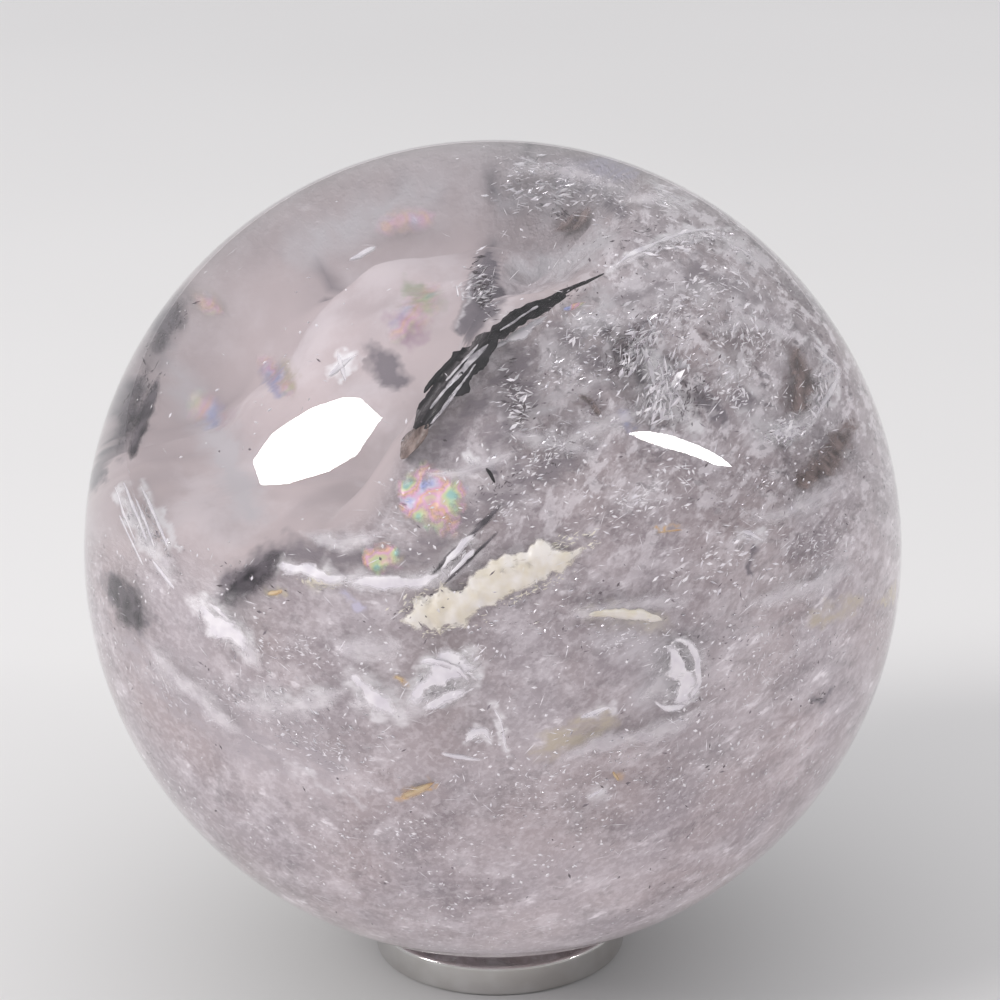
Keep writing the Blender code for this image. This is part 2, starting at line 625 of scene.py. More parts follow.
# Marks in the milk: colour, how strong, how soft an edge in px, and the line that it follows,
# as (x, y, half its width) in pixels of the photograph
markColours = {
    "white": (0.98, 0.975, 0.98),
    "frost": (0.88, 0.865, 0.885),
    "smoke": (0.17, 0.16, 0.18),
    "umber": (0.26, 0.20, 0.185),
    "cream": (0.93, 0.89, 0.74),
    "gold": (0.84, 0.76, 0.50),
    "ochre": (0.80, 0.52, 0.22),
    "lilac": (0.72, 0.71, 0.86),
    "sky": (0.45, 0.52, 0.86),
    "teal": (0.40, 0.70, 0.62),
    "lime": (0.66, 0.82, 0.48),
    "pink": (0.88, 0.52, 0.72),
    "orange": (0.92, 0.60, 0.38),
    "red": (0.62, 0.12, 0.07),
}
marks = (
    # the clear window
    ("smoke", 0.30, 2, (306, 286, 1), (318, 275, 1), (336, 273, 1), (344, 284, 1), (330, 295, 1)),
    ("white", 0.70, 3, (349, 259, 2), (376, 247, 2)),
    ("smoke", 0.75, 3, (488, 170, 3), (491, 182, 5), (488, 194, 3)),
    # painted highlight: the key softbox mirrored inside the ball, painted into the milk as a white star
    ("white", 1.00, 6, (330, 374, 3), (341, 366, 8), (356, 354, 3)),
    ("white", 1.00, 4, (338, 352, 2), (343, 366, 5), (346, 380, 2)),
    ("pink", 0.30, 10, (203, 408, 9), (212, 418, 9)),
    ("sky", 0.35, 7, (270, 372, 6), (276, 388, 6)),
    ("gold", 0.35, 7, (284, 366, 6), (290, 384, 6)),
    ("pink", 0.26, 10, (400, 318, 9), (412, 334, 8)),
    ("lime", 0.30, 10, (410, 290, 9), (430, 304, 8)),
    ("gold", 0.24, 8, (204, 300, 7), (216, 306, 6)),
    ("smoke", 0.50, 10, (374, 356, 8), (388, 372, 12), (400, 384, 8)),
    # painted shade along the left outline: the clear quartz there shows dark surroundings, painted as
    # dark marks
    ("smoke", 0.80, 8, (186, 292, 6), (168, 322, 14), (150, 352, 10)),
    ("smoke", 0.85, 8, (142, 362, 8), (128, 410, 14), (118, 450, 9)),
    ("smoke", 0.85, 5, (98, 460, 6), (92, 486, 6)),
    ("smoke", 0.70, 8, (110, 582, 8), (126, 604, 16), (142, 624, 8)),
    ("white", 0.90, 5, (122, 488, 5), (132, 520, 7), (152, 552, 6)),
    ("white", 0.80, 4, (142, 486, 2), (160, 520, 5), (172, 546, 3)),
    ("white", 0.80, 3, (150, 557, 2), (175, 589, 2)),
    ("smoke", 0.55, 12, (222, 602, 8), (246, 578, 18), (280, 554, 8)),
    ("smoke", 0.34, 12, (280, 552, 10), (336, 556, 15), (400, 562, 12), (440, 548, 7)),
    # the ridge between the window and the milk
    ("white", 0.85, 6, (278, 563, 4), (327, 576, 6), (380, 582, 6), (428, 580, 5), (473, 537, 3)),
    ("cream", 1.00, 4, (310, 581, 5), (334, 583, 5)),
    ("gold", 0.80, 4, (268, 592, 3), (284, 592, 3)),
    ("lilac", 0.70, 3, (347, 600, 5), (358, 602, 5)),
    ("white", 0.95, 6, (196, 604, 8), (224, 622, 13), (248, 652, 9)),
    ("frost", 0.18, 22, (130, 640, 10), (190, 700, 22), (270, 745, 26), (340, 760, 14)),
    ("white", 0.70, 8, (250, 690, 5), (300, 700, 8), (330, 690, 5)),
    # beside the dark fracture
    ("smoke", 0.55, 7, (492, 236, 3), (488, 264, 12), (482, 296, 20), (472, 324, 16)),
    ("smoke", 0.80, 6, (494, 262, 4), (490, 296, 8), (474, 322, 6)),
    ("white", 0.70, 3, (476, 268, 1), (466, 300, 2), (458, 326, 1)),
    ("smoke", 0.42, 8, (508, 348, 6), (522, 376, 11), (516, 416, 10), (500, 448, 6)),
    ("white", 0.55, 14, (520, 268, 10), (566, 262, 14), (604, 236, 10)),
    ("frost", 0.50, 10, (500, 212, 6), (560, 196, 14), (620, 190, 10)),
    ("white", 0.50, 18, (300, 250, 14), (360, 220, 18), (430, 190, 12)),
    ("white", 0.45, 16, (180, 380, 12), (220, 440, 18), (250, 510, 12)),
    ("white", 0.90, 2, (457, 285, 2), (459, 294, 2)),
    ("smoke", 0.70, 3, (486, 466, 3), (496, 484, 4)),
    ("white", 0.90, 3, (467, 456, 3), (475, 464, 3)),
    ("umber", 0.60, 8, (578, 394, 8), (598, 414, 9)),
    ("smoke", 0.26, 14, (430, 470, 6), (470, 520, 10), (520, 480, 12), (590, 450, 10)),
    ("smoke", 0.24, 12, (520, 350, 8), (530, 400, 14), (490, 440, 10)),
    ("smoke", 0.30, 10, (450, 440, 8), (480, 400, 10), (510, 370, 8)),
    # the two rainbow films
    ("orange", 0.80, 4, (412, 487, 4), (424, 496, 4)),
    ("pink", 0.75, 5, (442, 480, 6), (458, 496, 7), (448, 508, 5)),
    ("lime", 0.70, 5, (427, 504, 4), (443, 518, 5)),
    ("orange", 0.60, 4, (430, 474, 3), (410, 512, 4)),
    ("teal", 0.85, 4, (372, 550, 5), (380, 556, 5)),
    ("lime", 0.75, 4, (378, 566, 4), (386, 560, 4)),
    ("gold", 0.80, 3, (390, 552, 3), (397, 558, 3)),
    ("pink", 0.70, 3, (387, 568, 2), (399, 566, 2)),
    # the crackled upper right
    ("smoke", 0.85, 3, (528, 147, 3), (538, 148, 3)),
    ("white", 0.90, 3, (514, 157, 2), (540, 164, 3)),
    ("lilac", 0.60, 8, (564, 172, 7), (598, 166, 12), (628, 174, 7)),
    ("umber", 0.40, 8, (556, 228, 8), (574, 218, 13), (590, 207, 7)),
    ("smoke", 0.40, 5, (602, 194, 4), (612, 206, 6), (622, 214, 4)),
    ("white", 0.85, 5, (648, 186, 4), (668, 196, 7), (686, 206, 4)),
    ("white", 0.90, 4, (606, 272, 2), (645, 248, 4), (684, 232, 5), (736, 228, 2)),
    ("white", 0.80, 6, (728, 246, 4), (744, 252, 7), (762, 262, 4)),
    ("smoke", 0.80, 5, (598, 326, 4), (622, 348, 9), (640, 378, 6)),
    ("umber", 0.70, 4, (612, 336, 3), (630, 356, 5)),
    ("smoke", 0.50, 4, (640, 322, 3), (654, 340, 5)),
    ("white", 0.95, 6, (646, 352, 7), (664, 386, 15), (690, 424, 10)),
    ("white", 0.60, 12, (560, 350, 8), (610, 300, 12), (690, 280, 14), (760, 300, 10)),
    ("white", 0.60, 12, (720, 360, 10), (750, 400, 14), (760, 440, 10)),
    ("smoke", 0.65, 6, (696, 390, 6), (706, 402, 10), (720, 418, 6)),
    ("smoke", 0.50, 5, (734, 394, 5), (756, 402, 5)),
    ("umber", 0.45, 8, (792, 346, 6), (798, 380, 15), (788, 414, 10)),
    ("white", 0.90, 3, (808, 336, 2), (838, 370, 3), (828, 400, 3), (808, 428, 3)),
    ("white", 0.95, 5, (772, 432, 7), (800, 426, 9)),
    ("umber", 0.75, 6, (796, 482, 4), (822, 462, 12), (850, 428, 8)),
    ("sky", 0.45, 4, (624, 414, 4), (632, 424, 4)),
    ("white", 0.85, 4, (742, 534, 4), (764, 538, 5)),
    ("ochre", 0.90, 2, (655, 532, 1), (684, 529, 1)),
    ("smoke", 0.22, 14, (620, 300, 9), (700, 270, 11), (760, 300, 8)),
    ("smoke", 0.22, 14, (560, 330, 10), (600, 370, 12), (590, 420, 9)),
    ("white", 0.45, 8, (520, 420, 5), (560, 396, 8), (600, 380, 5)),
    # the lower milk
    ("white", 0.95, 8, (414, 694, 12), (440, 680, 26), (468, 664, 14)),
    ("white", 0.75, 9, (352, 676, 8), (372, 696, 18), (402, 716, 10)),
    ("white", 0.80, 5, (420, 664, 3), (452, 668, 5), (474, 690, 4)),
    ("white", 0.75, 5, (356, 688, 6), (378, 710, 8)),
    ("ochre", 0.85, 3, (395, 677, 3), (403, 680, 3)),
    ("ochre", 0.75, 3, (400, 796, 3), (418, 790, 4), (435, 782, 2)),
    ("red", 0.85, 1, (411, 793, 2), (413, 794, 2)),
    ("frost", 0.95, 6, (664, 656, 15), (680, 676, 19), (682, 694, 12)),
    ("white", 1.00, 3, (672, 638, 3), (690, 648, 4), (698, 674, 5), (690, 700, 3), (664, 707, 2)),
    ("cream", 0.45, 6, (584, 614, 7), (624, 614, 11), (666, 620, 6)),
    ("white", 0.90, 3, (492, 706, 3), (502, 724, 4), (506, 750, 3)),
    ("white", 0.80, 3, (466, 742, 3), (478, 732, 5), (490, 742, 3)),
    ("gold", 0.42, 8, (542, 752, 6), (570, 737, 13), (604, 722, 7)),
    ("ochre", 0.60, 3, (614, 773, 3), (618, 779, 3)),
    ("white", 0.70, 4, (578, 717, 3), (612, 707, 4)),
    ("smoke", 0.70, 3, (811, 699, 3), (828, 693, 3)),
    ("smoke", 0.60, 3, (850, 731, 3), (856, 729, 3)),
    ("smoke", 0.60, 2, (753, 538, 2), (755, 556, 2), (752, 574, 2)),
    ("gold", 0.40, 8, (812, 620, 7), (850, 606, 7)),
    ("gold", 0.50, 5, (883, 600, 5), (892, 587, 5)),
    ("white", 0.70, 4, (589, 796, 2), (603, 789, 4)),
    ("white", 0.60, 3, (282, 762, 2), (320, 784, 3), (366, 806, 2)),
    ("frost", 0.50, 14, (600, 640, 12), (660, 650, 16), (640, 700, 12)),
)
painting = {
    "step": 4,  # px between the spots that are looked up
    "margin": 3,
    "near": 1.5 * mm,
    "neighbours": 3,
    "stray": ((17, 11), (6, 5)),  # lumps and reach in px, wide and fine
    "outlineFade": (0.99, 0.92),
    "seed": 226,
}


def shownPixels(tree):  # spots on a surface inside the ball, with the pixel that shows each
    spots = []
    middle, radius = photo["ballMiddlePx"], photo["ballRadiusPx"] - painting["margin"]
    step = painting["step"]
    for px in range(int(middle[0] - radius), int(middle[0] + radius), step):
        for py in range(int(middle[1] - radius), int(middle[1] + radius), step):
            if math.hypot(px - middle[0], py - middle[1]) < radius:
                hit = insideBall(px, py, 0.0)
                found = tree.ray_cast(hit, insideBall(px, py, 1.0) - hit)
                if found[0]:
                    spots.append((found[0], (px, py)))
    lookup = KDTree(len(spots))
    for index, found in enumerate(spots):
        lookup.insert(found[0], index)
    lookup.balance()
    return lookup, spots


def fromOutline(px, py):  # 0 at the ball's outline in the photograph, 1 well inside
    middle = photo["ballMiddlePx"]
    reach = math.hypot(px - middle[0], py - middle[1]) / photo["ballRadiusPx"]
    return smoothStep(*painting["outlineFade"], reach)


def strayed(px, py):  # a pixel moved a little, so that what is painted there gets a torn edge
    spot = Vector((px, py, 0))
    (wideLump, wideReach), (fineLump, fineReach) = painting["stray"]
    wide, fine = noise.noise_vector(spot / wideLump), noise.noise_vector(spot / fineLump)
    x = px + wideReach * wide.x + fineReach * fine.x
    y = py + wideReach * wide.y + fineReach * fine.y
    return Vector((x, y, 0))


def paintMarks(bm, tree):
    layer = bm.verts.layers.float_color.new("mark")
    noise.seed_set(painting["seed"])
    lookup, spots = shownPixels(tree)
    pixels = []
    unmarked = (*milk["cool"][:3], 0.0)
    for vert in bm.verts:
        vert[layer] = unmarked
        near = lookup.find_n(vert.co, painting["neighbours"])
        if near[0][2] < painting["near"]:
            shares = [1 / (each[2] + 0.00001) for each in near]
            shown = [spots[each[1]][1] for each in near]
            px = sum(share * pixel[0] for share, pixel in zip(shares, shown)) / sum(shares)
            py = sum(share * pixel[1] for share, pixel in zip(shares, shown)) / sum(shares)
            pixels.append((strayed(px, py), vert))
    flat = KDTree(len(pixels))
    for index, (pixel, vert) in enumerate(pixels):
        flat.insert(pixel, index)
    flat.balance()
    base = Vector(milk["cool"][:3])
    for colour, strength, soft, *line in marks:
        wanted = base.lerp(Vector(markColours[colour]), strength)
        for first, last in zip(line, line[1:]):
            a, b = Vector((first[0], first[1], 0)), Vector((last[0], last[1], 0))
            reach = (b - a).length / 2 + max(first[2], last[2]) + soft
            for pixel, index, distance in flat.find_range((a + b) / 2, reach):
                along = min(max((pixel - a).dot(b - a) / (b - a).length_squared, 0.0), 1.0)
                half = first[2] + (last[2] - first[2]) * along
                off = (pixel - a.lerp(b, along)).length - half
                cover = smoothStep(soft, -soft, off)
                vert = pixels[index][1]
                old = vert[layer]
                if cover > 0:
                    colourNow = Vector(old[:3]).lerp(wanted, cover if old[3] > 0 else 1.0)
                    vert[layer] = (*colourNow, max(old[3], cover))


# Spots in the clear quartz: under a pixel, or anywhere between the milk and the skin
clearance = {
    "skin": 0.5 * mm,
    "milk": 0.2 * mm,
    "flakeMm": 0.15,
    "strip": 0.4 * mm,
    "sinking": 1.5,  # above 1, more flakes lie near the skin
}


def overMilk(px, py, lift, deepest=1.0):
    hit = insideBall(px, py, 0.0)
    way = (insideBall(px, py, 1.0) - hit).normalized()
    return overMilkFrom(hit, way, lift, deepest)


def overMilkFrom(hit, way, lift, deepest=1.0):
    found = milkTree.ray_cast(hit, way)
    reach = found[3] if found[0] else ballRadius
    return hit + way * min(max(reach - lift, clearance["skin"]), deepest)


def overMilkAnywhere(turn, px, py, lift):  # the same, straight in, at the middle of a turned view
    way = turn @ Vector((px, py, photo["ballRadiusPx"])).normalized()
    return overMilkFrom(ballMiddle + way * ballRadius, -way, lift)


def spotUnderSkin(rng, way, deepest):
    skin = ballMiddle + way * ballRadius
    found = milkTree.ray_cast(skin, -way)
    room = (found[3] if found[0] else ballRadius) - clearance["milk"]
    least = clearance["skin"]
    return skin - way * (least + rng.random() ** clearance["sinking"] * (min(room, deepest) - least))


def keptInside(place, room):  # moved inwards where it would come closer to the skin than a room
    arm = place - ballMiddle
    return ballMiddle + arm * min(1.0, (ballRadius - room) / arm.length)


def anyWay(rng):
    return Vector((rng.gauss(0, 1), rng.gauss(0, 1), rng.gauss(0, 1))).normalized()


def strikeFrame(place, lean, turn):  # along the threads, across them, and out of their sheet
    slope = strike["rise"] + 2 * strike["bowl"] * viewShares(place)[0]
    along = (viewRight + viewUp * slope).normalized()
    out = -viewForward
    frame = Matrix((along, out.cross(along), out)).transposed()
    return frame @ Matrix.Rotation(turn, 3, "Z") @ Matrix.Rotation(lean, 3, "X")


# Small flakes, needles and glints, each a flattened solid with eight faces
flakes = {
    # name: how many, length, width, thickness in mm, how far the direction strays, deepest in mm
    "frost_flakes": (15000, (0.15, 0.7), (0.10, 0.40), 0.10, 1.2, 9.0),
    "frost_threads": (5000, (0.5, 2.2), (0.05, 0.13), 0.06, 0.7, 9.0),
    "dark_flakes": (3000, (0.2, 1.0), (0.10, 0.35), 0.08, 0.8, 4.5),
}
crowding = {
    "batch": 200,
    "wide": 12 * mm,
    "fine": 4 * mm,
    "fineShare": 0.6,
    "levels": (-0.25, 0.45),
    "window": 0.93,  # how many of the flakes the clear window does without
    "lean": 0.6,
}


def flakeMaterial(name, first, second, low, high, metallic=0.0, specular=0.5):
    material, tree = newMaterial(name)
    place = put(tree, "TexCoord").outputs["Object"]
    facets = wisp(tree, place, scale=1500.0, detail=1.0, low=0.35, high=0.65)
    inputs = {
        "Base Color": tint(tree, place, 700.0, first, second),
        "Roughness": between(tree, facets, low, high),
        "Metallic": metallic,
        "Specular IOR Level": specular,
    }
    finishSurface(tree, inputs)
    return material


def addFlake(bm, place, frame, size):
    place = keptInside(place, (max(size) / 2 + clearance["flakeMm"]) * mm)
    matrix = Matrix.Translation(place) @ frame.to_4x4() @ Matrix.Diagonal((*size, 1.0))
    bmesh.ops.create_uvsphere(bm, u_segments=4, v_segments=2, radius=0.5 * mm, matrix=matrix)


def crowdShare(place, seed):  # how likely a flake is here
    level = lump(place, crowding["wide"], seed)
    level += crowding["fineShare"] * lump(place, crowding["fine"], seed + 1)
    return smoothStep(*crowding["levels"], level) * (1 - crowding["window"] * windowShares(place)[1])


def makeFlakes(name, material, seed):
    number, lengths, widths, thick, stray, deepest = flakes[name]
    rng = random.Random(seed)
    whole = bmesh.new()
    for first in range(0, number, crowding["batch"]):
        bm = bmesh.new()
        for each in range(crowding["batch"]):
            way = anyWay(rng)
            place = spotUnderSkin(rng, way, deepest * mm)
            if rng.random() > crowdShare(place, seed):
                continue
            frame = strikeFrame(place, rng.gauss(0, crowding["lean"]), rng.gauss(0, stray))
            addFlake(bm, place, frame, (rng.uniform(*lengths), rng.uniform(*widths), thick))
        addTo(whole, bm)
    finishPiece(whole, name, material, smooth=False)


def makeAllFlakes():
    white = flakeMaterial("frost", (0.95, 0.94, 0.95, 1), (0.85, 0.84, 0.87, 1), 0.15, 0.4)
    dark = flakeMaterial("smoke_flake", (0.10, 0.085, 0.09, 1), (0.24, 0.21, 0.23, 1), 0.2, 0.4)
    makeFlakes("frost_flakes", white, 3)
    makeFlakes("frost_threads", white, 5)
    makeFlakes("dark_flakes", dark, 7)
    print("flakes made")


# Torn strips inside the quartz, each along a line of the photograph: x, y and half its width in px
strips = {
    "dark_fracture": {
        "deepest": 9.0,
        "lift": (5.5, 3.0),
        "tear": 0.36,
        "lines": (
            (
                (500, 328, 3), (484, 346, 9), (468, 364, 13),
                (450, 384, 14), (432, 405, 11), (414, 428, 5),
            ),
            ((488, 340, 5), (506, 327, 8), (524, 314, 7), (545, 302, 5), (572, 288, 3), (604, 273, 1)),
            ((460, 352, 3), (440, 372, 3), (424, 392, 2)),
            ((478, 366, 2), (458, 388, 3), (436, 414, 2), (424, 430, 2)),
            ((528, 318, 3), (552, 304, 3), (566, 295, 2)),
            ((486, 468, 1), (491, 474, 2), (495, 482, 1)),
        ),
    },
    "fracture_streaks": {
        "deepest": 8.4,
        "lift": (6.2, 4.0),
        "tear": 0.8,
        "lines": (
            ((488, 344, 1), (466, 366, 2), (444, 392, 1)),
            ((478, 344, 1), (462, 362, 1), (446, 380, 1)),
            ((476, 364, 1), (458, 388, 2), (440, 412, 1)),
            ((462, 384, 1), (446, 406, 1), (430, 424, 1)),
            ((446, 388, 1), (430, 408, 1)),
            ((500, 330, 1), (520, 317, 1), (540, 305, 1)),
        ),
    },
    "fracture_tip": {
        "deepest": 8.4,
        "lift": (3.2, 2.4),
        "tear": 0.4,
        "lines": (
            ((428, 424, 4), (414, 438, 6), (406, 450, 5), (401, 458, 2)),
        ),
    },
    "umber_veils": {
        "lift": (2.2, 2.2),
        "tear": 0.6,
        "lines": (
            ((790, 486, 3), (812, 474, 12), (834, 452, 17), (852, 424, 8)),
            ((794, 340, 4), (800, 368, 14), (800, 396, 14), (792, 420, 6)),
            ((576, 392, 4), (590, 402, 9), (602, 418, 4)),
            ((552, 232, 5), (572, 222, 11), (592, 206, 6)),
        ),
    },
    "white_slivers": {
        "lift": (3.4, 2.2),
        "tear": 0.7,
        "lines": (
            ((504, 342, 1), (518, 335, 4), (534, 324, 4), (552, 313, 1)),
            ((488, 350, 1), (500, 345, 2), (512, 338, 1)),
            ((489, 332, 1), (490, 344, 1)),
            ((495, 332, 1), (497, 345, 2)),
            ((502, 331, 1), (502, 343, 1)),
            ((456, 284, 1), (459, 296, 2)),
            ((466, 456, 2), (475, 464, 3)),
            ((438, 572, 2), (450, 558, 4), (464, 542, 4), (477, 532, 2)),
            ((448, 576, 1), (462, 562, 3), (476, 548, 2)),
            ((272, 562, 3), (300, 568, 8), (327, 576, 8), (352, 578, 5)),
            ((346, 582, 3), (388, 584, 7), (424, 580, 7), (444, 572, 3)),
            ((194, 602, 3), (214, 618, 9), (232, 634, 9), (250, 654, 3)),
            ((206, 600, 1), (224, 616, 3), (240, 632, 1)),
            ((114, 484, 1), (124, 512, 2), (138, 548, 1)),
            ((122, 478, 1), (134, 508, 2), (148, 544, 1)),
            ((130, 486, 1), (143, 516, 2), (156, 552, 1)),
            ((140, 484, 1), (153, 512, 2), (170, 552, 1)),
            ((118, 512, 1), (130, 538, 1), (144, 566, 1)),
            ((150, 557, 1), (162, 572, 2), (175, 589, 1)),
            ((606, 272, 1), (632, 254, 2), (660, 241, 2), (690, 231, 2), (735, 228, 1)),
            ((728, 244, 2), (744, 251, 4), (762, 262, 2)),
            ((808, 336, 1), (822, 352, 3), (838, 370, 2), (832, 390, 3), (820, 410, 3), (808, 428, 1)),
            ((772, 434, 3), (786, 431, 7), (802, 426, 4)),
            ((672, 638, 2), (688, 644, 4), (698, 662, 4), (698, 682, 4), (688, 702, 2)),
            ((652, 700, 1), (668, 708, 3), (686, 704, 2)),
            ((492, 706, 2), (498, 716, 3), (503, 730, 3), (504, 742, 3), (508, 755, 1)),
            ((464, 744, 1), (472, 734, 4), (484, 731, 3), (491, 742, 1)),
            ((418, 662, 2), (436, 660, 4), (456, 668, 3), (472, 684, 2)),
            ((438, 752, 1), (462, 757, 2), (484, 760, 1)),
            ((578, 718, 1), (594, 712, 3), (612, 706, 1)),
            ((742, 532, 1), (752, 534, 3), (765, 541, 1)),
            ((348, 260, 1), (364, 252, 3), (378, 245, 1)),
            ((514, 156, 1), (528, 160, 3), (541, 165, 1)),
            # painted highlight: a white star of slivers where the key softbox is mirrored inside the
            # ball
            ((328, 376, 1), (341, 366, 3), (360, 352, 1)),
            ((337, 350, 1), (342, 366, 2), (346, 382, 1)),
            ((406, 702, 5), (426, 686, 15), (450, 674, 19), (476, 666, 7)),
            ((420, 710, 2), (446, 696, 6), (470, 688, 2)),
            ((350, 674, 4), (368, 692, 12), (398, 716, 5)),
            ((662, 644, 5), (680, 660, 13), (684, 684, 12), (672, 706, 4)),
            ((640, 344, 1), (650, 366, 3), (656, 392, 1)),
            ((654, 352, 1), (664, 378, 3), (672, 408, 1)),
            ((666, 372, 1), (678, 396, 3), (690, 424, 1)),
            ((588, 798, 1), (596, 793, 2), (604, 788, 1)),
        ),
    },
    "cream_inclusion": {
        "lift": (1.0, 1.0),
        "tear": 0.42,
        "crown": 0.6,
        "lines": (
            (
                (396, 620, 4), (410, 619, 12), (424, 613, 17), (440, 607, 20), (459, 603, 23),
                (480, 589, 23), (507, 577, 19), (529, 568, 18), (550, 560, 18), (570, 553, 12),
                (592, 543, 5),
            ),
            ((306, 582, 2), (318, 580, 5), (337, 583, 3)),
            ((586, 614, 3), (612, 613, 6), (640, 614, 7), (666, 620, 3)),
        ),
    },
    "white_veils": {
        "lift": (1.2, 1.2),
        "tear": 0.3,
        "lines": (
            ((276, 562, 6), (340, 578, 13), (420, 581, 15), (470, 560, 14), (500, 536, 6)),
            ((186, 596, 8), (222, 622, 20), (250, 650, 15), (262, 680, 6)),
            ((118, 484, 6), (138, 520, 15), (160, 556, 13), (178, 592, 6)),
            ((410, 704, 8), (440, 680, 24), (474, 660, 12)),
            ((598, 276, 3), (650, 250, 6), (700, 236, 7), (744, 238, 4)),
            ((640, 352, 8), (664, 390, 22), (692, 426, 13)),
            ((550, 452, 8), (600, 424, 18), (652, 408, 10)),
            ((760, 442, 8), (796, 427, 17), (828, 402, 8)),
            ((222, 704, 10), (296, 706, 18), (352, 686, 9)),
            ((140, 636, 8), (190, 690, 18), (246, 736, 10)),
            ((560, 618, 8), (620, 606, 15), (700, 600, 8)),
            ((634, 704, 10), (676, 672, 28), (702, 636, 12)),
            ((496, 430, 8), (546, 440, 15), (602, 456, 10)),
            ((420, 474, 7), (470, 470, 13), (524, 446, 8)),
            ((556, 764, 8), (604, 742, 15), (662, 730, 13), (722, 698, 6)),
            ((740, 522, 6), (792, 510, 15), (852, 478, 9)),
            ((736, 606, 6), (800, 590, 15), (870, 556, 7)),
            ((616, 204, 6), (660, 196, 15), (706, 212, 7)),
            ((346, 704, 8), (374, 700, 14), (404, 684, 6)),
            ((500, 176, 8), (540, 164, 14), (590, 176, 16), (634, 196, 8)),
            ((700, 330, 8), (750, 322, 15), (800, 338, 8)),
            ((400, 716, 8), (436, 690, 26), (480, 664, 12)),
            ((330, 640, 8), (366, 650, 18), (410, 640, 10)),
            ((296, 530, 6), (340, 542, 15), (384, 532, 6)),
        ),
    },
    "rainbow_veils": {
        "lift": (1.0, 1.0),
        "tear": 0.25,
        "lines": (
            ((400, 512, 12), (416, 502, 30), (440, 496, 38), (470, 486, 18)),
            ((362, 564, 8), (378, 558, 17), (402, 551, 10)),
            ((562, 309, 2), (574, 306, 4), (586, 301, 2)),
        ),
    },
    "rainbow_glows": {
        "lift": (1.0, 1.0),
        "tear": 0.25,
        "lines": (
            ((186, 392, 8), (206, 410, 20), (222, 432, 10)),
            ((256, 352, 6), (276, 376, 16), (294, 398, 8)),
            ((388, 344, 8), (414, 312, 26), (442, 280, 12)),
            ((190, 292, 5), (208, 302, 13), (226, 314, 6)),
            ((372, 232, 6), (404, 220, 18), (440, 214, 8)),
        ),
    },
    # painted shade: along the left outline these are dark sheets where the clear quartz shows dark
    # surroundings; the last three are dark patches by the ridge
    "smoky_hollows": {
        "deepest": 7.0,
        "lift": (2.0, 2.0),
        "tear": 0.35,
        "lines": (
            ((190, 284, 5), (178, 304, 14), (162, 330, 17), (148, 358, 7)),
            ((148, 356, 6), (134, 388, 15), (124, 424, 16), (116, 456, 7)),
            ((162, 368, 4), (150, 402, 9), (138, 436, 9), (130, 462, 3)),
            ((99, 456, 4), (94, 474, 8), (91, 490, 4)),
            ((106, 572, 6), (118, 592, 17), (132, 612, 18), (146, 634, 6)),
            ((216, 606, 7), (238, 588, 17), (260, 568, 15), (286, 550, 6)),
            ((424, 582, 2), (450, 556, 4), (478, 528, 4), (508, 498, 2)),
            ((438, 590, 1), (466, 562, 3), (500, 530, 2)),
        ),
    },
    "ochre_stains": {
        "lift": (0.7, 0.7),
        "tear": 0.7,
        "lines": (
            ((399, 797, 2), (416, 791, 4), (436, 781, 1)),
            ((394, 676, 2), (404, 681, 4)),
            ((655, 532, 1), (684, 529, 1)),
            ((612, 771, 2), (619, 780, 3)),
            ((267, 594, 2), (284, 590, 3)),
        ),
    },
}


stripShape = {
    "grid": 1.6,  # px between its points
    "reach": 0.08,  # share of the line over which its direction is taken
    "narrowest": 0.4,  # px
    "waves": ((24, 3.1, 1.0), (8, 5.7, 0.35), (3, 9.1, 0.15)),  # px long, noise row, strength
    "thinnest": 0.15,
    "ends": (0.25, 6),  # share of the width at the very end, and how fast it grows
    "fade": 4,
    "ripple": (9, 0.18),  # px long, mm high
    "thickness": 0.12 * mm,
}


def alongSpine(line, share):  # the place and half width at a share of a line, on a smooth curve
    spans = len(line) - 1
    at = min(max(share, 0.0), 1.0) * spans
    index = min(int(at), spans - 1)
    t = at - index
    near = [line[min(max(index + step, 0), spans)] for step in (-1, 0, 1, 2)]
    return [
        b + 0.5 * t * (c - a + t * (2 * a - 5 * b + 4 * c - d + t * (3 * (b - c) + d - a)))
        for a, b, c, d in zip(*near)
    ]


def spineSpot(line, share):  # place, half width and direction at a share of a line
    px, py, half = alongSpine(line, share)
    backX, backY = alongSpine(line, share - stripShape["reach"])[:2]
    onX, onY = alongSpine(line, share + stripShape["reach"])[:2]
    run = math.hypot(onX - backX, onY - backY)
    return px, py, max(half, stripShape["narrowest"]), (onX - backX) / run, (onY - backY) / run


def tornHalf(half, share, side, long, tear, seed):  # half the width, torn and drawn in at the ends
    wave = 0.0
    for length, row, strength in stripShape["waves"]:
        wave += strength * noise.noise(Vector((share * long / length, side * row, seed)))
    start, growth = stripShape["ends"]
    ends = min(1.0, start + growth * min(share, 1 - share))
    return half * (max(1 + 2 * tear * wave, stripShape["thinnest"]) * ends)


